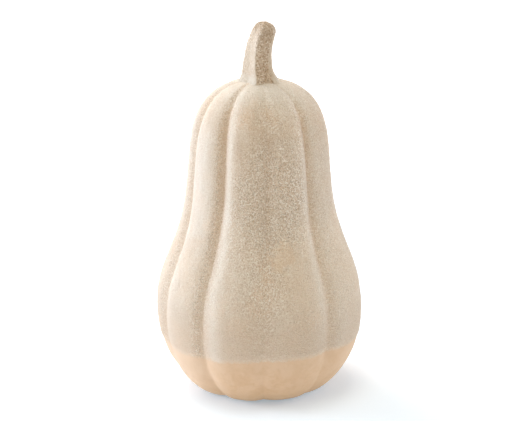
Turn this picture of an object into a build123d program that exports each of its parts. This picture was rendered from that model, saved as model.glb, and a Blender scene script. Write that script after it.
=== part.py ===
from build123d import *
import math
import os
import numpy as np

# Ceramic gourd figure: a hollow slip-cast stoneware body with nine lobes, a separately
# cast five-ridged stem luted into a socket in the crown, a sand-textured glaze over the
# stem and over all of the body but a bare band at the foot, and four felt pads.
# Frame: millimetres, +Z up, origin on the standing plane at the middle of the outline,
# front of the figure towards -Y.

# ---------------------------------------------------------------- driving dimensions
PAD_T = 1.2            # felt pad thickness: the ceramic foot stands this far up
PAD_D = 12.0           # felt pad diameter
PAD_R = 36.5           # pads sit on this radius of the foot ring
WALL = 5.0             # cast wall
GLAZE_T = 0.6          # glaze build-up
DIP_Z = 39.2           # dip line above the foot plane, on the axis
DIP_TILT = 1.8         # the casting was dipped a little askew: the line rises to +X
RECESS_R = 28.0        # shallow recess in the underside
RECESS_H = 2.0
VENT_R = 1.75          # pin vent through the floor, so that the closed casting can be fired
SOCKET_R = 8.0         # hole in the crown that takes the stem's tenon
TENON_R = 7.0
TENON_PAST = 1.6       # tenon reaches this far past the inside of the crown
SLIP_BEAD_R = 10.0     # slip squeezed out inside the crown
SLIP_BEAD_H = 1.4

# Crest profile from the edge of the foot to the crown: (radius, height above the foot)
PROFILE = [
    (44.0, 0.0), (47.6, 0.5), (50.6, 1.8), (54.0, 4.4), (58.2, 8.4), (63.0, 14.4),
    (68.0, 22.5), (72.2, 32.5), (75.4, 45.0), (77.0, 59.0), (76.5, 73.0), (73.0, 88.0),
    (66.9, 104.0), (61.0, 120.0), (56.7, 136.0), (54.1, 154.0), (52.7, 172.0),
    (50.8, 190.0), (47.2, 204.0), (40.8, 216.0), (34.5, 222.6), (28.0, 227.0),
    (21.0, 230.0), (15.0, 231.4), (10.0, 232.0),
]
# Azimuth of each groove, degrees from the front towards +X, at these heights
GROOVE_Z = [0.0, 80.0, 160.0, 232.0]
GROOVES = [
    (-73.6, -69.9, -74.0, -73.1), (-33.6, -34.0, -31.2, -33.4), (1.7, 3.2, 6.1, 7.2),
    (42.0, 42.7, 44.1, 43.7), (90.5, 90.0, 89.0, 88.0), (130.5, 131.5, 129.5, 129.0),
    (169.6, 168.6, 170.4, 171.0), (208.7, 209.5, 207.6, 208.7), (247.8, 248.6, 247.0, 246.2),
]
# Groove depth as a share of the crest radius, at these heights
DEPTH_Z = [0.0, 30.0, 60.0, 110.0, 190.0, 232.0]
DEPTH = [0.053, 0.040, 0.050, 0.071, 0.106, 0.067]
POWER = 2.95           # how flat a lobe is between its grooves
ROUND = 0.07           # rounding of a groove, as a share of half a lobe
# Each lobe's own bulge in mm at these heights
BULGE_Z = [0.0, 12.0, 34.0, 180.0, 216.0, 232.0]
BULGE = [
    (1.3, 1.3, 0.0, 0.0, -0.5, 0.0), (1.3, 1.0, 0.0, 0.0, -0.3, 0.0),
    (0.3, 0.2, 0.0, 0.0, 0.2, 0.0), (-1.0, -0.8, 0.3, 0.0, 0.7, 0.0),
    (0.0, 0.4, 0.2, 0.0, 0.4, 0.0), (0.6, 0.4, -0.3, 0.3, 0.0, 0.0),
    (-0.3, -0.2, 0.3, -0.2, 0.2, 0.0), (0.7, 0.5, -0.2, 0.2, -0.3, 0.0),
    (0.0, 0.2, 0.2, -0.2, -0.2, 0.0),
]
# The foot sits a little to one side of the body's axis
SHIFT_Z = [0.0, 24.0, 232.0]
SHIFT = [1.6, 0.4, 0.0]

# Stem: height above the foot, middle x, y, inradius of the pentagon, lean towards +X and
# towards -Y in degrees, twist in degrees
STEM = [
    (221.0, 0.0, 0.0, 15.6, 0.0, 0.0, 0.0), (229.0, 0.1, 0.0, 14.2, 0.0, 0.0, 0.0),
    (232.2, 0.25, -0.15, 12.6, 0.0, 0.0, 0.0), (235.0, 0.15, -0.3, 11.05, 1.0, 0.0, 0.0),
    (239.5, -0.5, -0.6, 9.6, 2.0, 1.0, 0.0), (245.2, -0.75, -1.1, 8.7, 3.0, 2.0, -1.0),
    (252.0, -0.2, -1.75, 8.1, 6.0, 3.5, -4.0), (259.0, 0.95, -2.5, 7.65, 9.0, 5.0, -7.0),
    (265.8, 2.8, -3.2, 7.15, 13.0, 6.0, -10.0), (270.2, 4.3, -3.6, 6.4, 17.0, 7.5, -11.5),
    (273.1, 5.1, -3.9, 4.9, 19.0, 8.0, -12.0), (274.7, 5.35, -4.03, 2.6, 20.0, 8.0, -12.0),
]
STEM_RIDGES = [-11.0, 57.0, 133.0, 205.0, 277.0]   # azimuths of the five ridges
STEM_ROUND = 0.16      # rounding of a ridge, as a share of half a facet
STEM_FLUTE = 0.035     # how hollow a facet is

NL = len(GROOVES)


# ---------------------------------------------------------------- the lobed surface
def natural(ts, vs):
    ts = np.array(ts, float)
    vs = np.array(vs, float)
    n = len(ts)
    h = np.diff(ts)
    a = np.eye(n)
    b = np.zeros(n)
    for i in range(1, n - 1):
        a[i, i - 1] = h[i - 1]
        a[i, i] = 2 * (h[i - 1] + h[i])
        a[i, i + 1] = h[i]
        b[i] = 6 * ((vs[i + 1] - vs[i]) / h[i] - (vs[i] - vs[i - 1]) / h[i - 1])
    m = np.linalg.solve(a, b)

    def f(t):
        i = int(np.clip(np.searchsorted(ts, t) - 1, 0, n - 2))
        d0, d1, w = t - ts[i], ts[i + 1] - t, h[i]
        return float(
            (m[i] * d1**3 + m[i + 1] * d0**3) / (6 * w)
            + (vs[i] / w - m[i] * w / 6) * d1
            + (vs[i + 1] / w - m[i + 1] * w / 6) * d0
        )

    return f


ARC = np.concatenate(
    [[0.0], np.cumsum([math.dist(a, b) for a, b in zip(PROFILE, PROFILE[1:])])]
)
prof_r = natural(ARC, [p[0] for p in PROFILE])
prof_z = natural(ARC, [p[1] for p in PROFILE])
groove_at = [natural(GROOVE_Z, g) for g in GROOVES]


def crest(t, off=0.0):
    """Crest radius and height at arc position t, off mm out along the normal."""
    e = 0.05
    lo, hi = max(t - e, 0.0), min(t + e, ARC[-1])
    dr, dz = prof_r(hi) - prof_r(lo), prof_z(hi) - prof_z(lo)
    n = math.hypot(dr, dz)
    return prof_r(t) + off * dz / n, prof_z(t) - off * dr / n


US = [-1.0, -0.965, -0.915, -0.83, -0.70, -0.48, -0.24, 0.0, 0.24, 0.48, 0.70, 0.83, 0.915, 0.965]


def ring(t, off=0.0, rnd=ROUND, power=POWER, deeper=1.0):
    """One closed section of the lobed surface."""
    radius, z = crest(t, off)
    z0 = min(max(prof_z(t), 0.0), 232.0)
    depth = float(np.interp(z0, DEPTH_Z, DEPTH)) * deeper
    shift = float(np.interp(z0, SHIFT_Z, SHIFT))
    az = [g(z0) for g in groove_at]
    az.append(az[0] + 360.0)
    pts, par = [], []
    for k in range(NL):
        mid, half = (az[k] + az[k + 1]) / 2, (az[k + 1] - az[k]) / 2
        bulge = float(np.interp(z0, BULGE_Z, BULGE[k]))
        for u in US:
            w = 1 - abs(u)
            ws = (math.sqrt(w * w + rnd * rnd) - rnd) / (math.sqrt(1 + rnd * rnd) - rnd)
            g = (1 - ws) ** power
            r = radius * (1 - depth * g) + bulge * (1 - g)
            phi = math.radians(mid + u * half)
            pts.append((r * math.sin(phi) + shift, -r * math.cos(phi), z + PAD_T))
            par.append((k + (u + 1) / 2) / NL)
    par.append(1.0)
    return Wire([Edge.make_spline(pts, periodic=True, parameters=par)])


def lobed(ts, **kw):
    return Solid.make_loft([ring(t, **kw) for t in ts])


T_ALL = [float(t) for t in ARC]
# extra sections where the profile bends most
T_OUT = sorted(T_ALL + [(T_ALL[0] + T_ALL[1]) / 2])

outer = lobed(T_OUT)
glazed = lobed([t for t in T_OUT if prof_z(t) > 20], off=GLAZE_T)

# the cavity follows the outside, with softer lobes
T_IN = [t for t in T_ALL if T_ALL[2] <= t <= T_ALL[-2]]
cavity = lobed(T_IN, off=-WALL, rnd=0.30, power=2.3, deeper=1.02)
inner_top = crest(T_IN[-1], -WALL)[1] + PAD_T
inner_floor = crest(T_IN[0], -WALL)[1] + PAD_T
foot_x = SHIFT[0]


# ---------------------------------------------------------------- the stem
def coated(rows, off):
    """The same rows moved off mm out along the normal of the stem's outline."""
    out = []
    for i, row in enumerate(rows):
        lo, hi = rows[max(i - 1, 0)], rows[min(i + 1, len(rows) - 1)]
        dr, dz = hi[3] - lo[3], hi[0] - lo[0]
        n = math.hypot(dr, dz)
        out.append((row[0] - off * dr / n, row[1], row[2], row[3] + off * dz / n, *row[4:]))
    return out


def stem_ring(row):
    """One planar five-sided section of the stem."""
    z, cx, cy, inr, lean_x, lean_y, twist = row
    lx, ly = math.radians(lean_x), math.radians(lean_y)
    pts, par = [], []
    us = [-1.0, -0.93, -0.82, -0.62, -0.32, 0.0, 0.32, 0.62, 0.82, 0.93]
    for k in range(5):
        a0, a1 = STEM_RIDGES[k], STEM_RIDGES[(k + 1) % 5] + (360.0 if k == 4 else 0.0)
        for u in us:
            w = 1 - abs(u)
            ws = (math.sqrt(w * w + STEM_ROUND**2) - STEM_ROUND) / (
                math.sqrt(1 + STEM_ROUND**2) - STEM_ROUND
            )
            r = inr / math.cos(math.radians(36.0 * (1 - ws))) - inr * STEM_FLUTE * ws
            phi = math.radians((a0 + a1) / 2 + (a1 - a0) / 2 * u + twist)
            x, y = r * math.sin(phi), -r * math.cos(phi)
            pts.append((
                cx + x * math.cos(lx),
                cy + y * math.cos(ly),
                z + PAD_T - x * math.sin(lx) + y * math.sin(ly),
            ))
            par.append((k + (u + 1) / 2) / 5)
    par.append(1.0)
    return Wire([Edge.make_spline(pts, periodic=True, parameters=par)])


stem_core = Solid.make_loft([stem_ring(row) for row in STEM])
stem_coated = Solid.make_loft([stem_ring(row) for row in coated(STEM, GLAZE_T)])

crown_z = PROFILE[-1][1] + PAD_T
bore = Pos(0, 0, crown_z - 10) * Cylinder(SOCKET_R, 20)
tenon_low = inner_top - TENON_PAST
tenon = Pos(0, 0, (tenon_low + crown_z + 3) / 2) * Cylinder(TENON_R, crown_z + 3 - tenon_low)

# ---------------------------------------------------------------- the pieces
recess = Pos(foot_x, 0, PAD_T + RECESS_H / 2 - 1) * Cylinder(RECESS_R, RECESS_H + 2)
vent = Pos(foot_x, 0, PAD_T + 5) * Cylinder(VENT_R, 20)
gourd_body = outer - cavity - bore - recess - vent

stem = (stem_core - outer) + tenon

ring_h = crown_z - inner_top
slip = Pos(0, 0, (crown_z + inner_top) / 2) * Cylinder(SOCKET_R, ring_h)
slip += Pos(0, 0, inner_top - SLIP_BEAD_H / 2) * Cylinder(SLIP_BEAD_R, SLIP_BEAD_H)
slip -= Pos(0, 0, (crown_z + inner_top) / 2) * Cylinder(TENON_R, 40)

above_dip = Pos(0, 0, DIP_Z + PAD_T) * Rot(0, -DIP_TILT, 0) * Pos(0, 0, 150) * Box(400, 400, 300)
body_glaze = (glazed & above_dip) - outer - stem_core
stem_glaze = stem_coated - stem_core - glazed

pads = {}
for name, deg in (
    ("front_right", 40.0), ("back_right", 130.0), ("back_left", 220.0), ("front_left", 310.0),
):
    a = math.radians(deg)
    pads[name] = Pos(foot_x + PAD_R * math.sin(a), -PAD_R * math.cos(a), PAD_T / 2) * Cylinder(
        PAD_D / 2, PAD_T
    )

# middle of the outline to the origin
box = gourd_body.bounding_box().add(body_glaze.bounding_box())
move = Pos(-(box.min.X + box.max.X) / 2, -(box.min.Y + box.max.Y) / 2, 0)
print("outline middle moved by", -(box.min.X + box.max.X) / 2, -(box.min.Y + box.max.Y) / 2)

pieces = {
    "gourd_body": gourd_body, "body_glaze": body_glaze, "stem": stem,
    "stem_glaze": stem_glaze, "stem_luting_slip": slip,
}
for name, pad in pads.items():
    pieces["foot_pad_" + name] = pad

os.makedirs("parts", exist_ok=True)
for name, shape in pieces.items():
    placed = move * shape
    solids = placed.solids()
    print(name, "solids", len(solids), "volume", [round(s.volume, 1) for s in solids])
    export_step(placed if len(solids) != 1 else solids[0], f"parts/{name}.step")
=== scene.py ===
import math

import bpy
import numpy as np
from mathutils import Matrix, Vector, noise


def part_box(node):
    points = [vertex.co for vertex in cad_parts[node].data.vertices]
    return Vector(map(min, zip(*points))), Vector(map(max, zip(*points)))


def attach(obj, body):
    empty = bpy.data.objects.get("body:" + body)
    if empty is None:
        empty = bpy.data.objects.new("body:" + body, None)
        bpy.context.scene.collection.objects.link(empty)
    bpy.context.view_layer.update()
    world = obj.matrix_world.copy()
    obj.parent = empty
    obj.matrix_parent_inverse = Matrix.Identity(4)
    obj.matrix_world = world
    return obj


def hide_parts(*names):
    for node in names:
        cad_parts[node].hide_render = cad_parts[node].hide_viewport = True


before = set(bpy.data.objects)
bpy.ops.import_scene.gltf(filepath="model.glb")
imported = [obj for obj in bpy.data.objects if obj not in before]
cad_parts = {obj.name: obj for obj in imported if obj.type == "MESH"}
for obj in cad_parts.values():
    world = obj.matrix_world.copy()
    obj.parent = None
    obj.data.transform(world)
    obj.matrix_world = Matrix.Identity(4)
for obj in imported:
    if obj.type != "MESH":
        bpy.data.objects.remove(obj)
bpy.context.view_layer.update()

# ---------------------------------------------------------------- shared sizes, mm
PAD_T = 1.2
WALL = 5.0
GLAZE_T = 0.6
DIP_Z = 37.5
DIP_TILT = 1.8
RECESS_R = 28.0
RECESS_H = 2.0
VENT_R = 1.75
SOCKET_R = 8.0
PROFILE = [
    (44.0, 0.0), (47.6, 0.5), (50.6, 1.8), (54.0, 4.4), (58.2, 8.4), (63.0, 14.4),
    (68.0, 22.5), (72.2, 32.5), (75.4, 45.0), (77.0, 59.0), (76.5, 73.0), (73.0, 88.0),
    (66.9, 104.0), (61.0, 120.0), (56.7, 136.0), (54.1, 154.0), (52.7, 172.0),
    (50.8, 190.0), (47.2, 204.0), (40.8, 216.0), (34.5, 222.6), (28.0, 227.0),
    (21.0, 230.0), (15.0, 231.4), (10.0, 232.0),
]
GROOVE_Z = [0.0, 80.0, 160.0, 232.0]
GROOVES = [
    (-73.6, -69.9, -74.0, -73.1), (-33.6, -34.0, -31.2, -33.4), (1.7, 3.2, 6.1, 7.2),
    (42.0, 42.7, 44.1, 43.7), (90.5, 90.0, 89.0, 88.0), (130.5, 131.5, 129.5, 129.0),
    (169.6, 168.6, 170.4, 171.0), (208.7, 209.5, 207.6, 208.7), (247.8, 248.6, 247.0, 246.2),
]
DEPTH_Z = [0.0, 30.0, 60.0, 110.0, 190.0, 232.0]
DEPTH = [0.053, 0.040, 0.050, 0.071, 0.106, 0.067]
POWER = 2.95
ROUND = 0.07
BULGE_Z = [0.0, 12.0, 34.0, 180.0, 216.0, 232.0]
BULGE = [
    (1.3, 1.3, 0.0, 0.0, -0.5, 0.0), (1.3, 1.0, 0.0, 0.0, -0.3, 0.0),
    (0.3, 0.2, 0.0, 0.0, 0.2, 0.0), (-1.0, -0.8, 0.3, 0.0, 0.7, 0.0),
    (0.0, 0.4, 0.2, 0.0, 0.4, 0.0), (0.6, 0.4, -0.3, 0.3, 0.0, 0.0),
    (-0.3, -0.2, 0.3, -0.2, 0.2, 0.0), (0.7, 0.5, -0.2, 0.2, -0.3, 0.0),
    (0.0, 0.2, 0.2, -0.2, -0.2, 0.0),
]
SHIFT_Z = [0.0, 24.0, 232.0]
SHIFT = [1.6, 0.4, 0.0]
STEM = [
    (221.0, 0.0, 0.0, 15.6, 0.0, 0.0, 0.0), (229.0, 0.1, 0.0, 14.2, 0.0, 0.0, 0.0),
    (232.2, 0.25, -0.15, 12.6, 0.0, 0.0, 0.0), (235.0, 0.15, -0.3, 11.05, 1.0, 0.0, 0.0),
    (239.5, -0.5, -0.6, 9.6, 2.0, 1.0, 0.0), (245.2, -0.75, -1.1, 8.7, 3.0, 2.0, -1.0),
    (252.0, -0.2, -1.75, 8.1, 6.0, 3.5, -4.0), (259.0, 0.95, -2.5, 7.65, 9.0, 5.0, -7.0),
    (265.8, 2.8, -3.2, 7.15, 13.0, 6.0, -10.0), (270.2, 4.3, -3.6, 6.4, 17.0, 7.5, -11.5),
    (273.1, 5.1, -3.9, 4.9, 19.0, 8.0, -12.0), (274.7, 5.35, -4.03, 2.6, 20.0, 8.0, -12.0),
]
STEM_RIDGES = [-11.0, 57.0, 133.0, 205.0, 277.0]
STEM_ROUND = 0.16
STEM_FLUTE = 0.035
NL = len(GROOVES)

# the four pads stand round the foot, so their middle gives the body's axis in the frame
PADS = ["foot_pad_front_left", "foot_pad_front_right", "foot_pad_back_left", "foot_pad_back_right"]
pad_mid = {n: (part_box(n)[0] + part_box(n)[1]) / 2 * 1000 for n in PADS}
foot = sum((pad_mid[n] for n in PADS), Vector()) / 4
AX = np.array([foot.x - SHIFT[0], foot.y, PAD_T])


# ---------------------------------------------------------------- surfaces
def natural(ts, vs):
    ts, vs = np.array(ts, float), np.array(vs, float)
    n, h = len(ts), np.diff(ts)
    a, b = np.eye(n), np.zeros(n)
    for i in range(1, n - 1):
        a[i, i - 1], a[i, i], a[i, i + 1] = h[i - 1], 2 * (h[i - 1] + h[i]), h[i]
        b[i] = 6 * ((vs[i + 1] - vs[i]) / h[i] - (vs[i] - vs[i - 1]) / h[i - 1])
    m = np.linalg.solve(a, b)

    def f(t):
        t = np.asarray(t, float)
        i = np.clip(np.searchsorted(ts, t) - 1, 0, n - 2)
        d0, d1, w = t - ts[i], ts[i + 1] - t, h[i]
        return (
            (m[i] * d1**3 + m[i + 1] * d0**3) / (6 * w)
            + (vs[i] / w - m[i] * w / 6) * d1
            + (vs[i + 1] / w - m[i + 1] * w / 6) * d0
        )

    return f


ARC = np.concatenate([[0.0], np.cumsum([math.dist(a, b) for a, b in zip(PROFILE, PROFILE[1:])])])
prof_r = natural(ARC, [p[0] for p in PROFILE])
prof_z = natural(ARC, [p[1] for p in PROFILE])
groove_at = [natural(GROOVE_Z, g) for g in GROOVES]


def lobe_cols(per):
    """Column places round the body, closer together at the grooves: (lobe, share across it)."""
    x = np.arange(per) / per
    f = x - 0.075 * np.sin(2 * np.pi * x)
    return np.repeat(np.arange(NL), per), np.tile(f, NL)


def lobed(t, k, f, off=0.0, rnd=ROUND, power=POWER, deeper=1.0):
    """Points on the lobed surface at arc place t, lobe k, share f across the lobe, and how
    deep in a groove each is. Arrays of one shape; mm above the foot plane, on the body's axis."""
    e = 0.05
    lo, hi = np.maximum(t - e, 0), np.minimum(t + e, ARC[-1])
    dr, dz = prof_r(hi) - prof_r(lo), prof_z(hi) - prof_z(lo)
    n = np.hypot(dr, dz)
    radius, z = prof_r(t) + off * dz / n, prof_z(t) - off * dr / n
    z0 = np.clip(prof_z(t), 0, 232)
    az = np.stack([g(z0) for g in groove_at] + [groove_at[0](z0) + 360.0], -1)
    a0 = np.take_along_axis(az, k[..., None], -1)[..., 0]
    a1 = np.take_along_axis(az, k[..., None] + 1, -1)[..., 0]
    phi = np.radians(a0 + (a1 - a0) * f)
    w = 1 - np.abs(2 * f - 1)
    ws = (np.sqrt(w * w + rnd * rnd) - rnd) / (math.sqrt(1 + rnd * rnd) - rnd)
    g = (1 - ws) ** power
    bulge = np.take_along_axis(np.stack([np.interp(z0, BULGE_Z, b) for b in BULGE], -1), k[..., None], -1)[..., 0]
    r = radius * (1 - np.interp(z0, DEPTH_Z, DEPTH) * deeper * g) + bulge * (1 - g)
    x = r * np.sin(phi) + np.interp(z0, SHIFT_Z, SHIFT)
    return np.stack([x, -r * np.cos(phi), z], -1), g


def grid_normals(p, wrap_rows=False):
    """Unit outward normals of a grid (rows going up, columns round, anticlockwise from above)."""
    du = np.roll(p, -1, 1) - np.roll(p, 1, 1)
    dv = np.roll(p, -1, 0) - np.roll(p, 1, 0) if wrap_rows else np.gradient(p, axis=0)
    n = np.cross(du, dv)
    return n / np.maximum(np.linalg.norm(n, axis=-1, keepdims=True), 1e-9)


def lump(p, size, seed=0.0, octaves=1):
    """Smooth noise about -1..1 at each point, its lumps about size mm across."""
    flat = p.reshape(-1, 3) / size + seed
    out = np.zeros(len(flat))
    for i, q in enumerate(flat):
        v = Vector(q)
        s = noise.noise(v)
        if octaves > 1:
            s += 0.5 * noise.noise(v * 2.1)
        if octaves > 2:
            s += 0.25 * noise.noise(v * 4.3)
        out[i] = s
    return out.reshape(p.shape[:-1])


def grains(p, size, seed=0.0):
    """Rounded grains, 0 between them and 1 on top, about size mm apart."""
    flat = p.reshape(-1, 3) / size + seed
    out = np.zeros(len(flat))
    for i, q in enumerate(flat):
        d = noise.voronoi(Vector(q))[0][0]
        out[i] = max(0.0, 1.0 - 1.7 * d * d)
    return out.reshape(p.shape[:-1])


def quads_of(rows, cols, start=0, close_rows=False, flip=False):
    r = np.arange(rows if close_rows else rows - 1)
    c = np.arange(cols)
    a = (r[:, None] * cols + c[None]).ravel()
    b = (r[:, None] * cols + (c[None] + 1) % cols).ravel()
    d = (((r[:, None] + 1) % rows) * cols + c[None]).ravel()
    e = (((r[:, None] + 1) % rows) * cols + (c[None] + 1) % cols).ravel()
    q = np.stack([a, b, e, d], -1) + start
    return q[:, ::-1] if flip else q


def build(name, points, quads, tris=None, attributes=None, shift=AX):
    """A smooth mesh from points in mm."""
    me = bpy.data.meshes.new(name)
    co = (np.asarray(points, float) + shift) / 1000.0
    tris = np.zeros((0, 3), int) if tris is None else np.asarray(tris, int)
    loops = np.concatenate([np.asarray(quads, int).ravel(), tris.ravel()])
    sizes = np.concatenate([np.full(len(quads), 4), np.full(len(tris), 3)])
    me.vertices.add(len(co))
    me.vertices.foreach_set("co", co.astype(np.float32).ravel())
    me.loops.add(len(loops))
    me.loops.foreach_set("vertex_index", loops.astype(np.int32))
    me.polygons.add(len(sizes))
    me.polygons.foreach_set("loop_start", np.concatenate([[0], np.cumsum(sizes)[:-1]]).astype(np.int32))
    me.polygons.foreach_set("loop_total", sizes.astype(np.int32))
    me.update(calc_edges=True)
    me.validate()
    me.polygons.foreach_set("use_smooth", np.ones(len(sizes), bool))
    for key, value in (attributes or {}).items():
        at = me.attributes.new(key, "FLOAT", "POINT")
        at.data.foreach_set("value", np.asarray(value, np.float32).ravel())
    ob = bpy.data.objects.new(name, me)
    bpy.context.scene.collection.objects.link(ob)
    return ob


# ---------------------------------------------------------------- the glaze coat
def dip_height(x, y, phi):
    """Height of the dip line above the foot plane: a plane a little askew, with a soft waver."""
    return (
        DIP_Z + math.tan(math.radians(DIP_TILT)) * x
        + 0.45 * np.sin(3 * phi + 0.6) + 0.3 * np.sin(7 * phi + 2.1) + 0.22 * np.sin(13 * phi + 4.0)
    )


GROOVE_IRON_AND_SHADE = [1.0, 1.25, 0.35, 0.8, 1.0, 0.8, 1.0, 0.7, 1.0]
SHADE_FLANK_WEIGHT = [1.35, 0.2, 0.0, 0.8, 0.6, 0.9, 0.5, 0.9, 0.95]
PAINTED_HIGHLIGHT_WEIGHT = [0.55, 1.0, 0.1, 0.50, 0.4, 0.6, 0.35, 0.6, 0.45]
T_FINE = np.linspace(0, ARC[-1], 4000)
Z_FINE = prof_z(T_FINE)


def t_of_z(z):
    return np.interp(z, Z_FINE, T_FINE)


def make_glaze():
    per, rows = 40, 222
    k, f = lobe_cols(per)
    nc = len(k)
    # where the dip line meets each column
    t0 = np.full(nc, t_of_z(DIP_Z))
    for _ in range(3):
        p, _g = lobed(t0, k, f)
        t0 = t_of_z(dip_height(p[:, 0], p[:, 1], np.arctan2(p[:, 0], -p[:, 1])))
    fine = lump(p, 5.0, 31.0) * 0.35 + lump(p, 3.1, 77.0) * 0.75
    t0 = t0 + fine
    t_top = float(np.interp(-12.2, -prof_r(T_FINE)[2000:], T_FINE[2000:]))
    # rows close together at the rounded lower edge
    s = np.linspace(0, 1, rows)
    s = s - 0.0018 * np.sin(np.pi * np.clip(s / 0.04, 0, 1))
    t = t0[None] + (t_top - t0[None]) * s[:, None]
    K, F = np.broadcast_to(k, t.shape), np.broadcast_to(f, t.shape)
    base, g = lobed(t, K, F)
    n = grid_normals(base)
    base = base + n * clay_waver(base)[..., None]
    up = t - t0[None]                       # mm up from the dip line
    edge = np.clip(up / 6.5, 0, 1)
    edge = edge * edge * (3 - 2 * edge)
    wave = 0.16 * lump(base, 24.0, 3.0) + 0.10 * lump(base, 9.0, 11.0)
    grain = grains(base, 2.4, 5.0) - 0.4
    ragged = np.clip(up / 1.5, 0, 1) * 0.10 * grain
    thick = (-0.05 + (GLAZE_T + 0.03) * edge) + ragged + edge * (wave + 0.05 * grain)
    outer = base + n * thick[..., None]
    # inside face: fewer rows, a hair under the casting's surface
    pick = np.unique(np.round(np.linspace(0, rows - 1, 34)).astype(int))
    inner = (base - n * 0.12)[pick]
    no, ni = outer.shape[0], inner.shape[0]
    pts = np.concatenate([outer.reshape(-1, 3), inner.reshape(-1, 3)])
    q = [quads_of(no, nc), quads_of(ni, nc, no * nc, flip=True)]
    c = np.arange(nc)
    d = (c + 1) % nc
    b0 = no * nc
    q.append(np.stack([b0 + c, b0 + d, d, c], -1))                              # lower lip
    o1, i1 = (no - 1) * nc, b0 + (ni - 1) * nc
    q.append(np.stack([o1 + c, o1 + d, i1 + d, i1 + c], -1))                    # top rim
    # iron settled in the grooves, more in some than others, and painted shade darkens them too; painted highlight
    # strips lie on one flank of each lobe, with another on the right flank of the front-right lobe, and painted shade
    # on the flank turned from the light
    side = np.array(GROOVE_IRON_AND_SHADE + GROOVE_IRON_AND_SHADE[:1])
    groove_iron_and_shade = g * np.where(F < 0.5, side[K], side[K + 1])
    z = base[..., 2]
    at = np.interp(z, [45, 110, 150], [0.21, 0.175, 0.155])
    wide = np.interp(z, [45, 110, 150], [0.14, 0.120, 0.108])
    painted_highlight_strip = np.array(PAINTED_HIGHLIGHT_WEIGHT)[K] * np.exp(-(((F - at) / wide) ** 2))
    painted_highlight_strip = painted_highlight_strip + np.where(K == 2, 0.7, 0.0) * np.exp(-(((F - 0.86) / 0.08) ** 2)) * np.interp(z, [50, 90, 170, 200], [0.4, 1, 1, 0.3])
    painted_shade_flank = np.exp(-(((F - 0.87) / 0.085) ** 2)) * np.array(SHADE_FLANK_WEIGHT)[K]
    attrs = {
        key: np.concatenate([v.ravel(), v[pick].ravel()])
        for key, v in (("above_dip", up), ("groove", g), ("groove_iron_and_shade", groove_iron_and_shade), ("painted_highlight", painted_highlight_strip), ("painted_shade_flank", painted_shade_flank))
    }
    return build("glaze_coat", pts, np.concatenate(q), attributes=attrs)


# ---------------------------------------------------------------- the casting
def clay_waver(p):
    """The casting's soft unevenness, where it shows below and just above the dip line."""
    z = p[..., 2]
    fade = np.clip(z / 2.0, 0, 1) * np.clip((52.0 - z) / 6.0, 0, 1)
    return (0.10 * lump(p, 11.0, 8.0) + 0.035 * lump(p, 2.6, 21.0)) * fade


def make_casting():
    per = 30
    k, f = lobe_cols(per)
    nc = len(k)
    t_low = np.concatenate([np.linspace(0, 6, 16)[:-1], np.arange(6, t_of_z(46.0), 1.15)])
    t_high = np.linspace(t_of_z(46.0) + 3, ARC[-1], 34)
    t = np.concatenate([t_low, t_high])
    T = np.broadcast_to(t[:, None], (len(t), nc))
    K, F = np.broadcast_to(k, T.shape), np.broadcast_to(f, T.shape)
    outer, g_out = lobed(T, K, F)
    n = grid_normals(outer)
    n[0] = n[1]
    outer = outer + n * clay_waver(outer)[..., None]
    foot_x = SHIFT[0]
    phi_c = np.arctan2(outer[0, :, 0] - foot_x, -outer[0, :, 1])

    def circle(r, z, lift=0.0):
        return np.stack([foot_x + r * np.sin(phi_c), -r * np.cos(phi_c), np.full(nc, z + lift)], -1)

    def top_circle(r, z, ph):
        return np.stack([r * np.sin(ph), -r * np.cos(ph), np.full(nc, z)], -1)

    under = [circle(VENT_R, RECESS_H + 3.0), circle(VENT_R, RECESS_H + 0.5), circle(VENT_R + 0.12, RECESS_H + 0.15), circle(VENT_R + 0.5, RECESS_H)]
    for r in np.linspace(3.5, RECESS_R - 1.6, 16):
        under.append(circle(r, RECESS_H))
    under += [circle(RECESS_R - 0.8, RECESS_H - 0.15), circle(RECESS_R - 0.25, RECESS_H - 0.55), circle(RECESS_R, RECESS_H / 2),
              circle(RECESS_R + 0.15, 0.35), circle(RECESS_R + 0.5, 0.08), circle(RECESS_R + 1.0, 0.0)]
    ring0 = circle(RECESS_R + 1.0, 0.0)
    for s in np.linspace(0, 1, 9)[1:-1]:
        under.append(ring0 * (1 - s) + outer[0] * s)
    under = np.array(under)
    rough = 0.05 * lump(under, 3.0, 40.0)
    under[1:, :, 2] += np.where(np.abs(under[1:, :, 2] - RECESS_H) < 0.01, rough[1:], 0.0)
    ph_top = np.arctan2(outer[-1, :, 0], -outer[-1, :, 1])
    t_in = np.linspace(float(ARC[2]), float(ARC[-2]), 40)[::-1]
    TI = np.broadcast_to(t_in[:, None], (len(t_in), nc))
    inner, _ = lobed(TI, np.broadcast_to(k, TI.shape), np.broadcast_to(f, TI.shape), -WALL, 0.30, 2.3, 1.02)
    z_in = float(inner[0, 0, 2])
    neck = np.array([top_circle(SOCKET_R, 232.0, ph_top), top_circle(SOCKET_R, (232 + z_in) / 2, ph_top), top_circle(SOCKET_R, z_in, ph_top)])
    z_fl = float(inner[-1, 0, 2])
    fl = np.array([inner[-1] * (1 - s) + circle(VENT_R, z_fl) * s for s in (0.3, 0.6, 0.85, 1.0)])
    p = np.concatenate([under, outer, neck, inner, fl])
    rows = p.shape[0]
    g = np.zeros(p.shape[:2])
    g[len(under):len(under) + len(outer)] = g_out
    return build("bare_casting", p.reshape(-1, 3), quads_of(rows, nc, close_rows=True), attributes={"groove": g})


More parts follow.
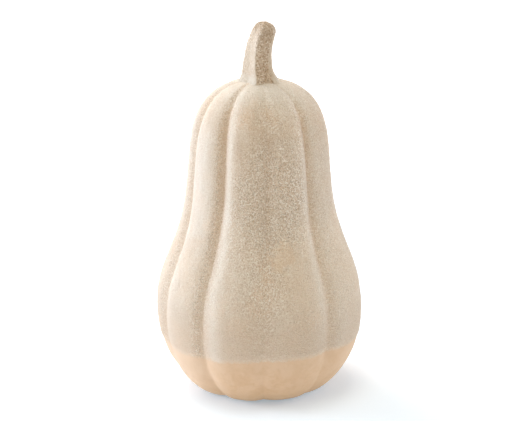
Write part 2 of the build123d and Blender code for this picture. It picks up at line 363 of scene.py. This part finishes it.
# ---------------------------------------------------------------- the stem's coat
def stem_rows(count, off):
    """Stem sections at even steps along its outline, off mm out along the normal."""
    t = np.concatenate([[0], np.cumsum([math.hypot(b[0] - a[0], b[3] - a[3]) for a, b in zip(STEM, STEM[1:])])])
    fs = [natural(t, [r[i] for r in STEM]) for i in range(7)]
    tt = np.linspace(t[1] - 1.0, t[-1], count)
    rows = np.stack([fn(tt) for fn in fs], -1)
    dr, dz = np.gradient(rows[:, 3]), np.gradient(rows[:, 0])
    n = np.hypot(dr, dz)
    rows[:, 0] -= off * dr / n
    rows[:, 3] += off * dz / n
    return rows


def stem_ring(row, u, k):
    z, cx, cy, inr, lean_x, lean_y, twist = row
    lx, ly = math.radians(lean_x), math.radians(lean_y)
    a0 = np.array(STEM_RIDGES)[k]
    a1 = np.array(STEM_RIDGES[1:] + [STEM_RIDGES[0] + 360])[k]
    w = 1 - np.abs(u)
    ws = (np.sqrt(w * w + STEM_ROUND**2) - STEM_ROUND) / (math.sqrt(1 + STEM_ROUND**2) - STEM_ROUND)
    r = inr / np.cos(np.radians(36 * (1 - ws))) - inr * STEM_FLUTE * ws
    phi = np.radians((a0 + a1) / 2 + (a1 - a0) / 2 * u + twist)
    x, y = r * np.sin(phi), -r * np.cos(phi)
    return np.stack([cx + x * math.cos(lx), cy + y * math.cos(ly), z - x * math.sin(lx) + y * math.sin(ly)], -1)


def make_stem_coat():
    per, count = 42, 150
    x = np.arange(per) / per
    u = np.tile(2 * (x - 0.06 * np.sin(2 * np.pi * x)) - 1, 5)
    k = np.repeat(np.arange(5), per)
    nc = len(u)

    def skin(rows):
        p = [stem_ring(r, u, k) for r in rows]
        # close the tip with shrinking rings on a low dome
        last, mid = p[-1], p[-1].mean(0)
        lx, ly = math.radians(rows[-1][4]), math.radians(rows[-1][5])
        axis = np.array([math.sin(lx), -math.sin(ly), math.cos(lx)])
        for s in (0.78, 0.56, 0.34, 0.14):
            p.append(mid + (last - mid) * s + axis * 0.42 * (1 - s * s))
        return np.array(p), mid + axis * 0.43

    base, tip = skin(stem_rows(count, GLAZE_T))
    n = grid_normals(base)
    grow = 0.22 * lump(base, 7.0, 61.0) + 0.17 * (grains(base, 1.7, 90.0) - 0.45) + 0.13 * (grains(base, 1.05, 15.0) - 0.4)
    base = base + n * np.clip(grow, -0.3, 0.45)[..., None]
    inner, tip_in = skin(stem_rows(26, 0.02))
    no, ni = base.shape[0], inner.shape[0]
    pts = np.concatenate([base.reshape(-1, 3), inner.reshape(-1, 3), [tip, tip_in - np.array([0, 0, 0.1])]])
    b0, it, ii = no * nc, (no + ni) * nc, (no + ni) * nc + 1
    c = np.arange(nc)
    d = (c + 1) % nc
    q = [quads_of(no, nc), quads_of(ni, nc, b0, flip=True), np.stack([b0 + c, b0 + d, d, c], -1)]
    o1, i1 = (no - 1) * nc, b0 + (ni - 1) * nc
    tris = np.concatenate([
        np.stack([o1 + c, o1 + d, np.full(nc, it)], -1),
        np.stack([i1 + d, i1 + c, np.full(nc, ii)], -1),
    ])
    ridge = 1 - np.clip((1 - np.abs(u)) / 0.25, 0, 1)
    ridge = np.concatenate([np.tile(ridge, no), np.tile(ridge, ni), [0, 0]])
    # the facets took the coat unevenly: the front one is bare and sandy, its neighbours paler; on top of that the front
    # one carries painted shade and the lit left one, the palest, painted light
    mid = np.array([0.0, 0.75, 0.8, 0.6, 1.0])
    ridges = np.array(STEM_RIDGES)

    def paler_coat_and_light_share(up):
        """The facets' share of the paler coat and of the painted light, the sandy one with its painted shade widening
        over the tip.
        """
        az = (ridges[k] + (np.append(ridges[1:], ridges[0] + 360)[k] - ridges[k]) * (u + 1) / 2 + 11.0) % 360
        edges = np.append(ridges + 11.0, 360.0)
        grow = np.interp(up, [252, 266, 272], [0, 9, 24])
        edges = edges + np.array([-grow, grow * 0.8 - 13.0, 0, 0, 0, -grow])
        out = np.zeros(nc)
        for i in range(5):
            for turn in (-360, 0, 360):
                d = np.minimum(az - edges[i] - turn, edges[i + 1] + turn - az)
                out += mid[i] * np.clip(d / 5.0 + 0.5, 0, 1)
        return np.clip(out, 0, 1) * np.interp(up, [262, 272], [1, 0.12])

    heights = base[..., 2].mean(1)
    paler_coat_and_painted_light = [paler_coat_and_light_share(h) for h in heights] + [paler_coat_and_light_share(h) for h in inner[..., 2].mean(1)]
    paler_coat_and_painted_light = np.concatenate(paler_coat_and_painted_light + [[0, 0]])
    return build("stem_glaze_coat", pts, np.concatenate(q), tris, {"ridge": ridge, "paler_coat_and_painted_light": paler_coat_and_painted_light})


# ---------------------------------------------------------------- felt pads
def make_pad(name, mid, seed):
    lo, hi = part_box(name)
    r, h = (hi.x - lo.x) * 500, (hi.z - lo.z) * 1000
    nc = 96
    ph = np.linspace(0, 2 * np.pi, nc, endpoint=False)
    prof = [(0.12, 0.0), (0.4, 0.0), (0.7, 0.0), (0.9, 0.01), (0.97, 0.06), (0.995, 0.18), (1.0, 0.38), (1.0, 0.62), (0.99, 0.84), (0.96, 0.96), (0.9, 1.0), (0.6, 1.0), (0.3, 1.0), (0.12, 1.0)]
    p = np.array([[(r * a * math.sin(x), -r * a * math.cos(x), h * b) for x in ph] for a, b in prof])
    away = p[..., :2] / np.maximum(np.linalg.norm(p[..., :2], axis=-1, keepdims=True), 1e-6)
    side = np.array([1.0 if 0.1 < b < 0.95 else 0.0 for _a, b in prof])[:, None]
    fuzz = lump(p, 0.9, seed, 2)
    p[..., :2] += away * (side * (fuzz * 0.09 - 0.06))[..., None]
    n = p.shape[0]
    pts = np.concatenate([p.reshape(-1, 3), [(0, 0, 0), (0, 0, h)]])
    c = np.arange(nc)
    d = (c + 1) % nc
    top = (n - 1) * nc
    tris = np.concatenate([
        np.stack([d, c, np.full(nc, n * nc)], -1),
        np.stack([top + c, top + d, np.full(nc, n * nc + 1)], -1),
    ])
    return build("felt_" + name[9:], pts, quads_of(n, nc), tris, shift=np.array([mid.x, mid.y, 0.0]))


# ---------------------------------------------------------------- materials
def material(name, rough, spec=0.3):
    m = bpy.data.materials.new(name)
    m.use_nodes = True
    t = m.node_tree
    bsdf = t.nodes["Principled BSDF"]
    bsdf.inputs["Roughness"].default_value = rough
    bsdf.inputs["Specular IOR Level"].default_value = spec
    return m, t, bsdf


class Nodes:
    """Small helpers for building a node tree in millimetres."""

    def __init__(self, tree):
        self.t = tree
        coord = tree.nodes.new("ShaderNodeTexCoord")
        scale = tree.nodes.new("ShaderNodeVectorMath")
        scale.operation = "SCALE"
        scale.inputs["Scale"].default_value = 1000.0
        tree.links.new(coord.outputs["Object"], scale.inputs[0])
        self.mm = scale.outputs[0]

    def noise(self, size, detail=2.0, rough=0.5, dist=0.0, offset=0.0, stretch=1.0):
        n = self.t.nodes.new("ShaderNodeTexNoise")
        n.inputs["Scale"].default_value = 1.0 / size
        n.inputs["Detail"].default_value = detail
        n.inputs["Roughness"].default_value = rough
        n.inputs["Distortion"].default_value = dist
        v = self.mm
        if offset:
            a = self.t.nodes.new("ShaderNodeVectorMath")
            a.inputs[1].default_value = (offset, offset * 0.7, -offset)
            self.t.links.new(v, a.inputs[0])
            v = a.outputs[0]
        if stretch != 1.0:
            m = self.t.nodes.new("ShaderNodeVectorMath")
            m.operation = "MULTIPLY"
            m.inputs[1].default_value = (1.0, 1.0, 1.0 / stretch)
            self.t.links.new(v, m.inputs[0])
            v = m.outputs[0]
        self.t.links.new(v, n.inputs["Vector"])
        return n.outputs["Fac"]

    def cells(self, size, out="Distance", rand=1.0):
        n = self.t.nodes.new("ShaderNodeTexVoronoi")
        n.inputs["Scale"].default_value = 1.0 / size
        n.inputs["Randomness"].default_value = rand
        self.t.links.new(self.mm, n.inputs["Vector"])
        return n.outputs[out]

    def attr(self, name):
        n = self.t.nodes.new("ShaderNodeAttribute")
        n.attribute_name = name
        return n.outputs["Fac"]

    def math(self, op, a, b=0.0, clamp=False):
        n = self.t.nodes.new("ShaderNodeMath")
        n.operation = op
        n.use_clamp = clamp
        for i, v in enumerate((a, b)):
            if isinstance(v, (int, float)):
                n.inputs[i].default_value = v
            else:
                self.t.links.new(v, n.inputs[i])
        return n.outputs[0]

    def ramp(self, v, lo, hi, a=0.0, b=1.0, smooth=True):
        n = self.t.nodes.new("ShaderNodeMapRange")
        n.interpolation_type = "SMOOTHSTEP" if smooth else "LINEAR"
        n.inputs["From Min"].default_value = lo
        n.inputs["From Max"].default_value = hi
        n.inputs["To Min"].default_value = a
        n.inputs["To Max"].default_value = b
        self.t.links.new(v, n.inputs["Value"])
        return n.outputs[0]

    def mix(self, f, a, b, kind="MIX"):
        n = self.t.nodes.new("ShaderNodeMix")
        n.data_type = "RGBA"
        n.blend_type = kind
        for i, v in ((0, f), (6, a), (7, b)):
            if isinstance(v, (int, float)):
                n.inputs[i].default_value = v
            elif isinstance(v, tuple):
                n.inputs[i].default_value = (*v, 1.0)
            else:
                self.t.links.new(v, n.inputs[i])
        return n.outputs[2]

    def patch(self, at, radius, ragged=0.35, size=9.0):
        """1 about a place on the body (mm above the foot, on its axis), fading raggedly to 0."""
        d = self.t.nodes.new("ShaderNodeVectorMath")
        d.operation = "SUBTRACT"
        self.t.links.new(self.mm, d.inputs[0])
        d.inputs[1].default_value = tuple(float(v) for v in np.array(at) + AX)
        m = self.t.nodes.new("ShaderNodeVectorMath")
        m.operation = "MULTIPLY"
        self.t.links.new(d.outputs[0], m.inputs[0])
        m.inputs[1].default_value = tuple(1.0 / r for r in radius)
        length = self.t.nodes.new("ShaderNodeVectorMath")
        length.operation = "LENGTH"
        self.t.links.new(m.outputs[0], length.inputs[0])
        wob = self.math("MULTIPLY", self.math("SUBTRACT", self.noise(size, 2.0, offset=at[2]), 0.5), 2.0 * ragged)
        return self.ramp(self.math("ADD", length.outputs["Value"], wob), 0.55, 1.05, 1.0, 0.0)

    def height(self):
        sep = self.t.nodes.new("ShaderNodeSeparateXYZ")
        self.t.links.new(self.mm, sep.inputs[0])
        return self.math("SUBTRACT", sep.outputs["Z"], PAD_T)

    def bump(self, height, distance, strength=1.0, under=None):
        n = self.t.nodes.new("ShaderNodeBump")
        n.inputs["Distance"].default_value = distance / 1000.0
        n.inputs["Strength"].default_value = strength
        self.t.links.new(height, n.inputs["Height"])
        if under is not None:
            self.t.links.new(under, n.inputs["Normal"])
        return n.outputs[0]


CLAY = (0.762, 0.506, 0.310)
CLAY_DARK = (0.655, 0.400, 0.225)
GLAZE = (0.820, 0.655, 0.507)
GLAZE_LIGHT = (0.95, 0.85, 0.73)
GLAZE_DARK = (0.60, 0.43, 0.285)
GLAZE_GREY = (0.790, 0.650, 0.518)
GLAZE_PEACH = (0.845, 0.622, 0.45)


def clay_colour(n):
    c = n.mix(n.ramp(n.noise(16.0, 3.0), 0.38, 0.66), CLAY, CLAY_DARK)
    c = n.mix(0.30, CLAY, c)
    c = n.mix(n.ramp(n.noise(2.6, 2.0, offset=33.0), 0.40, 0.64, 0.0, 0.52), c, (0.690, 0.440, 0.255))
    c = n.mix(n.ramp(n.noise(11.0, 2.0, offset=44.0), 0.42, 0.60, 0.0, 0.45), c, (0.805, 0.560, 0.375))
    sep = n.t.nodes.new("ShaderNodeSeparateXYZ")
    n.t.links.new(n.mm, sep.inputs[0])
    # paler on the lit left side, painted light; warmer on the right
    c = n.mix(n.ramp(sep.outputs["X"], -64.0, -8.0, 0.60, 0.0), c, (0.775, 0.580, 0.425))
    c = n.mix(n.ramp(sep.outputs["X"], 8.0, 40.0, 0.0, 0.32), c, (0.815, 0.560, 0.360))
    level = n.math("ADD", n.height(), n.math("MULTIPLY", sep.outputs["X"], -math.tan(math.radians(DIP_TILT))))
    level = n.math("ADD", level, n.math("MULTIPLY", n.math("SUBTRACT", n.noise(9.0, 2.0, offset=60.0), 0.5), 5.0))
    c = n.mix(n.ramp(level, 20.0, DIP_Z, 0.0, 0.30), c, (0.745, 0.530, 0.365))
    c = n.mix(n.ramp(level, 2.0, 20.0, 0.45, 0.0), c, (0.775, 0.500, 0.270))
    speck = n.ramp(n.noise(0.75, 1.0, offset=9.0), 0.62, 0.74)
    return n.mix(n.math("MULTIPLY", speck, 0.22), c, (0.60, 0.38, 0.22))


def clay_material():
    m, t, b = material("bare_clay", 0.62, 0.35)
    n = Nodes(t)
    t.links.new(clay_colour(n), b.inputs["Base Color"])
    t.links.new(n.ramp(n.noise(5.0), 0.3, 0.7, 0.55, 0.70), b.inputs["Roughness"])
    fine = n.bump(n.noise(0.5, 3.0), 0.035)
    t.links.new(n.bump(n.noise(3.2, 2.0), 0.10, under=fine), b.inputs["Normal"])
    return m


def sand(n, size, contrast, light, dark, base, second, third):
    """Sandy glaze: grains of light crystal and dark iron on a mottled ground, and their relief."""
    ground = n.mix(n.ramp(n.noise(22.0, 3.0, 0.55), 0.36, 0.64), base, second)
    ground = n.mix(n.ramp(n.noise(30.0, 2.0, offset=50.0), 0.50, 0.68, 0.0, 0.6), ground, third)
    fine = n.noise(size, 1.5, 0.55)
    fine2 = n.noise(size * 0.8, 1.0, 0.5, offset=23.0)
    lightness = n.math("MULTIPLY", n.ramp(fine, 0.50, 0.64), contrast)
    darkness = n.math("MULTIPLY", n.ramp(fine2, 0.48, 0.66), contrast)
    c = n.mix(darkness, ground, dark)
    c = n.mix(lightness, c, light)
    return c, fine, fine2


def glaze_colour(n):
    # sandier on the neck and in the grooves, finer on the belly
    neck = n.patch((12, -50, 136), (50, 44, 84), 0.3, 14.0)
    face = n.patch((10, -54, 158), (34, 34, 50), 0.3, 12.0)
    sandy = n.math("ADD", n.math("MULTIPLY", neck, 0.30), n.math("MULTIPLY", n.attr("groove"), 0.45))
    sandy = n.math("ADD", sandy, n.math("MULTIPLY", face, 0.34))
    sandy = n.math("SUBTRACT", sandy, n.math("MULTIPLY", n.patch((34, -58, 96), (20, 24, 26), 0.4, 10.0), 0.35))
    sep = n.t.nodes.new("ShaderNodeSeparateXYZ")
    n.t.links.new(n.mm, sep.inputs[0])
    sandy = n.math("ADD", sandy, n.ramp(sep.outputs["X"], -62.0, 20.0, 0.32, 0.72))
    c, fine, fine2 = sand(n, 1.02, sandy, GLAZE_LIGHT, GLAZE_DARK, GLAZE, GLAZE_GREY, GLAZE_PEACH)
    # faint runs where the coat drained down the sides
    runs = n.noise(6.5, 2.0, 0.55, offset=17.0, stretch=9.0)
    reach = n.ramp(n.height(), 70.0, 130.0, 0.35, 1.0)
    c = n.mix(n.math("MULTIPLY", n.ramp(runs, 0.53, 0.68, 0.0, 0.26), reach), c, (0.66, 0.485, 0.345))
    c = n.mix(n.math("MULTIPLY", n.ramp(runs, 0.47, 0.33, 0.0, 0.26), reach), c, (0.93, 0.83, 0.71))
    # the front face of the neck darker, painted shade, and a small blush below it
    c = n.mix(n.math("MULTIPLY", n.patch((6, -52, 166), (36, 30, 52), 0.3, 14.0), 0.32), c, (0.56, 0.385, 0.25))
    c = n.mix(n.math("MULTIPLY", n.patch((17, -60, 116), (10, 16, 13), 0.9, 5.0), 0.40), c, (0.84, 0.590, 0.375))
    # the crown drained paler
    drained = n.math("MULTIPLY", n.ramp(n.height(), 212.0, 232.0, 0.0, 0.66), n.ramp(sep.outputs["X"], -42.0, -12.0, 0.55, 1.0))
    drained = n.math("MULTIPLY", drained, n.ramp(sep.outputs["X"], 14.0, 40.0, 1.0, 0.6))
    c = n.mix(drained, c, (0.865, 0.805, 0.720))
    # greyer and paler on the lit left side of the neck, painted light, and browner about the groove on its right,
    # painted shade
    painted_lit_side = n.math("MULTIPLY", n.ramp(sep.outputs["X"], -50.0, -22.0, 0.36, 0.0), n.ramp(n.height(), 96.0, 150.0))
    painted_lit_side = n.math("MULTIPLY", painted_lit_side, n.ramp(sep.outputs["X"], -53.0, -45.0, 0.35, 1.0))
    c = n.mix(n.math("MULTIPLY", painted_lit_side, n.ramp(n.height(), 196.0, 216.0, 1.0, 0.0)), c, (0.90, 0.81, 0.72))
    c = n.mix(n.math("MULTIPLY", n.patch((45, -27, 176), (24, 30, 58), 0.3, 14.0), 0.38), c, (0.64, 0.475, 0.34))
    # and left a slightly browner collar below it
    collar = n.math("MULTIPLY", n.ramp(n.height(), 186.0, 200.0), n.ramp(n.height(), 208.0, 220.0, 1.0, 0.0))
    c = n.mix(n.math("MULTIPLY", collar, 0.10), c, (0.62, 0.47, 0.34))
    # a warmer cast low on one side
    warm = n.math("MULTIPLY", n.ramp(sep.outputs["X"], 2.0, 34.0), n.ramp(n.height(), 148.0, 118.0, 0.0, 0.40))
    c = n.mix(warm, c, (0.830, 0.640, 0.465))
    # thinner and pinker towards the dip line
    c = n.mix(n.ramp(n.height(), 46.0, 92.0, 0.6, 0.0), c, (0.695, 0.515, 0.372))
    return c, fine, fine2, n.math("ADD", n.math("MULTIPLY", face, 0.62), n.ramp(sep.outputs["X"], 6.0, 56.0, 0.0, 0.24))


def glaze_material():
    m, t, b = material("sand_glaze", 0.78, 0.28)
    n = Nodes(t)
    c, fine, fine2, gritty = glaze_colour(n)
    # iron settles in the grooves, and painted shade darkens them further
    iron_and_groove_shade = n.math("MULTIPLY", n.ramp(n.attr("groove_iron_and_shade"), 0.12, 1.0), n.ramp(n.height(), 60.0, 185.0, 0.14, 0.46))
    iron_and_groove_shade = n.math("MULTIPLY", iron_and_groove_shade, n.ramp(n.height(), 202.0, 224.0, 1.0, 0.3))
    c = n.mix(iron_and_groove_shade, c, (0.665, 0.450, 0.285))
    # painted shade on the flank of each lobe turned from the light
    c = n.mix(n.math("MULTIPLY", n.attr("painted_shade_flank"), n.ramp(n.height(), 90.0, 150.0, 0.12, 0.24)), c, (0.64, 0.435, 0.275))
    # painted highlight: paler strips on one flank of each lobe
    c = n.mix(n.math("MULTIPLY", n.attr("painted_highlight"), n.ramp(n.height(), 44.0, 90.0, 0.28, 0.38)), c, (0.93, 0.85, 0.745))
    # and coarser grit shows there and on the front of the neck
    gritty = n.math("ADD", gritty, n.math("MULTIPLY", n.attr("painted_shade_flank"), 0.42))
    c = n.mix(n.math("MULTIPLY", n.ramp(n.noise(0.92, 1.0, offset=41.0), 0.54, 0.62), gritty), c, (0.44, 0.325, 0.225))
    c = n.mix(n.math("MULTIPLY", n.ramp(n.noise(0.92, 1.0, offset=57.0), 0.55, 0.63), gritty), c, (0.97, 0.90, 0.80))
    # at the dip line the coat is thin and the clay shows between its grains
    grainy = n.math("MULTIPLY", n.math("SUBTRACT", n.noise(1.3, 1.0, offset=70.0), 0.5), 7.0)
    wander = n.math("MULTIPLY", n.math("SUBTRACT", n.noise(7.0, 2.0, offset=31.0), 0.5), 3.0)
    feather = n.math("ADD", n.math("ADD", n.attr("above_dip"), grainy), wander)
    thin = n.ramp(feather, -1.2, 4.6, 1.0, 0.0)
    thin = n.math("MAXIMUM", thin, n.ramp(n.attr("above_dip"), 0.0, 1.2, 1.0, 0.0))
    c = n.mix(thin, c, clay_colour(n))
    t.links.new(c, b.inputs["Base Color"])
    t.links.new(n.ramp(fine, 0.35, 0.68, 0.86, 0.66), b.inputs["Roughness"])
    rise = n.math("SUBTRACT", fine, n.math("MULTIPLY", fine2, 0.9))
    rise = n.math("MULTIPLY", rise, n.ramp(n.attr("above_dip"), 0.0, 7.0, 0.25, 1.0))
    small = n.bump(rise, 1.0, 1.0)
    t.links.new(n.bump(n.noise(4.0, 2.0, offset=12.0), 0.30, under=small), b.inputs["Normal"])
    return m


def stem_material():
    m, t, b = material("stem_glaze", 0.80, 0.28)
    n = Nodes(t)
    c, fine, fine2 = sand(n, 1.45, 0.80, (0.85, 0.725, 0.585), (0.37, 0.24, 0.145), (0.625, 0.46, 0.325), (0.585, 0.44, 0.32), (0.635, 0.455, 0.32))
    paler_coat_and_painted_light, _f, _g = sand(n, 1.3, 0.45, (0.79, 0.68, 0.565), (0.58, 0.435, 0.31), (0.690, 0.560, 0.435), (0.67, 0.545, 0.430), (0.70, 0.560, 0.430))
    crown, _h, _i, _j = glaze_colour(n)
    crown = n.mix(0.85, crown, (0.695, 0.600, 0.495))
    c = n.mix(n.ramp(n.height(), 256.0, 272.0, 0.0, 0.42), c, (0.49, 0.365, 0.26))
    # the paler coat by facet, with painted light on the lit left facet and painted shade on the front one
    share = n.attr("paler_coat_and_painted_light")
    share = n.math("ADD", share, n.math("MULTIPLY", n.math("SUBTRACT", n.noise(1.6, 1.0, offset=5.0), 0.5), 0.30), clamp=True)
    c = n.mix(n.ramp(share, 0.1, 0.9), c, paler_coat_and_painted_light)
    c = n.mix(n.ramp(n.attr("ridge"), 0.2, 1.0, 0.0, 0.25), c, (0.84, 0.74, 0.62))
    # where it flares into the crown the two coats ran together, last of all on the bare facet
    low = n.math("ADD", n.height(), n.math("MULTIPLY", n.attr("paler_coat_and_painted_light"), -5.0))
    low = n.math("ADD", low, n.math("MULTIPLY", n.math("SUBTRACT", n.noise(2.0, 1.0, offset=88.0), 0.5), 5.0))
    c = n.mix(n.ramp(low, 230.0, 234.5, 1.0, 0.0), c, crown)
    t.links.new(c, b.inputs["Base Color"])
    t.links.new(n.ramp(fine, 0.35, 0.68, 0.88, 0.70), b.inputs["Roughness"])
    rise = n.math("SUBTRACT", fine, n.math("MULTIPLY", fine2, 0.9))
    rise = n.math("MULTIPLY", rise, n.ramp(n.attr("paler_coat_and_painted_light"), 0.0, 1.0, 1.0, 0.45))
    t.links.new(n.bump(rise, 1.2, 1.0), b.inputs["Normal"])
    return m


def felt_material():
    m, t, b = material("felt", 0.95, 0.15)
    b.inputs["Sheen Weight"].default_value = 0.5
    b.inputs["Sheen Roughness"].default_value = 0.6
    n = Nodes(t)
    fibre = n.noise(0.55, 4.0, 0.7, 1.2)
    c = n.mix(n.ramp(fibre, 0.35, 0.65), (0.50, 0.42, 0.32), (0.70, 0.62, 0.50))
    t.links.new(c, b.inputs["Base Color"])
    t.links.new(n.bump(fibre, 0.25, 0.8), b.inputs["Normal"])
    return m


def slip_material():
    m, t, b = material("luting_slip", 0.7, 0.3)
    n = Nodes(t)
    t.links.new(n.mix(n.ramp(n.noise(2.5, 3.0), 0.35, 0.65), (0.70, 0.47, 0.29), (0.78, 0.56, 0.37)), b.inputs["Base Color"])
    t.links.new(n.bump(n.noise(1.2, 3.0), 0.15), b.inputs["Normal"])
    return m


def assign(ob, mat):
    ob.data.materials.clear()
    ob.data.materials.append(mat)


clay, glaze, stem_sand, felt, slip = clay_material(), glaze_material(), stem_material(), felt_material(), slip_material()

pieces = [
    (make_casting(), clay, ["gourd_body"], "bare_clay"),
    (make_glaze(), glaze, ["body_glaze"], "sand_glaze"),
    (make_stem_coat(), stem_sand, ["stem_glaze"], "stem_glaze"),
]
for i, name in enumerate(PADS):
    pieces.append((make_pad(name, pad_mid[name], 13.0 * (i + 1)), felt, [name], "felt"))
for ob, mat, nodes, slot in pieces:
    assign(ob, mat)
    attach(ob, "root")
    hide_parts(*nodes)
for node, mat in (("stem", clay), ("stem_luting_slip", slip)):
    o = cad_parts[node]
    if not o.data.materials:
        o.data.materials.append(mat)
    for s in o.material_slots:
        s.material = mat

# ---------------------------------------------------------------- floor, light, camera
scene = bpy.context.scene
scene.view_settings.view_transform = "Standard"
scene.view_settings.look = "None"

me = bpy.data.meshes.new("floor")
me.from_pydata([(-9, -9, 0), (9, -9, 0), (9, 9, 0), (-9, 9, 0)], [], [(0, 1, 2, 3)])
floor = bpy.data.objects.new("floor", me)
scene.collection.objects.link(floor)
fm, ft, fb = material("floor_white", 0.9, 0.1)
fb.inputs["Base Color"].default_value = (0.93, 0.93, 0.93, 1)
# painted light: the floor glows, dimly near the body and more brightly far off, keeping the far floor white
fb.inputs["Emission Strength"].default_value = 1.0
fn = Nodes(ft)
away = ft.nodes.new("ShaderNodeVectorMath")
away.operation = "LENGTH"
ft.links.new(fn.mm, away.inputs[0])
ft.links.new(fn.mix(fn.ramp(away.outputs["Value"], 230.0, 1200.0), (0.140, 0.218, 0.300), (0.62, 0.63, 0.66)), fb.inputs["Emission Color"])
floor.data.materials.append(fm)

# softboxes: name, azimuth (0 from the front, 90 from +X), elevation, distance m, size m, colour x power
LIGHTS = [
    ("left_low", -98, 10, 1.5, 0.6, (0.650, 0.790, 1.000), 16.60),
    ("right_back_low", 112, 10, 1.5, 0.6, (0.660, 0.800, 1.000), 8.20),
    ("left_back_mid", -150, 40, 1.5, 0.6, (1.000, 0.850, 0.740), 6.80),
    ("left_back_mid_2", -120, 40, 1.5, 0.6, (0.700, 0.830, 1.000), 4.19),
    ("front_high", -8, 64, 1.5, 0.6, (1.000, 0.960, 0.600), 2.15),
    ("overhead", 0, 88, 1.5, 0.8, (0.985, 0.975, 1.000), 7.00),
]
AIM = Vector((0, 0, 0.13))
for name, az, el, dist, size, colour, power in LIGHTS:
    data = bpy.data.lights.new(name, "AREA")
    data.shape = "SQUARE"
    data.size = size
    data.color = colour
    data.energy = power
    ob = bpy.data.objects.new(name, data)
    a, e = math.radians(az), math.radians(el)
    back = Vector((math.sin(a) * math.cos(e), -math.cos(a) * math.cos(e), math.sin(e)))
    ob.location = AIM + back * dist
    ob.rotation_euler = (-back).to_track_quat("-Z", "Y").to_euler()
    scene.collection.objects.link(ob)

# a wide softbox over the far floor keeps it as white as the near floor
data = bpy.data.lights.new("far_floor", "AREA")
data.shape = "SQUARE"
data.size = 2.0
data.energy = 9.0
ob = bpy.data.objects.new("far_floor", data)
ob.location = (0, 2.7, 2.2)
scene.collection.objects.link(ob)

world = bpy.data.worlds.new("studio")
scene.world = world
world.use_nodes = True
bg = world.node_tree.nodes["Background"]
bg.inputs["Color"].default_value = (0.414, 0.386, 0.326, 1)
bg.inputs["Strength"].default_value = 1.0

cam_data = bpy.data.cameras.new("camera")
cam = bpy.data.objects.new("camera", cam_data)
scene.collection.objects.link(cam)
target = Vector((AX[0], AX[1], 140.0 + PAD_T)) / 1000
e = math.radians(15.35)
back = Vector((0, -math.cos(e), math.sin(e)))
cam.location = target + back * 1.4
cam.rotation_euler = (-back).to_track_quat("-Z", "Y").to_euler()
cam_data.sensor_width = 36.0
cam_data.lens = 130.11
cam_data.shift_x = 0.0004
cam_data.shift_y = -0.0168
cam_data.clip_start = 0.05
cam_data.clip_end = 60.0
scene.camera = cam
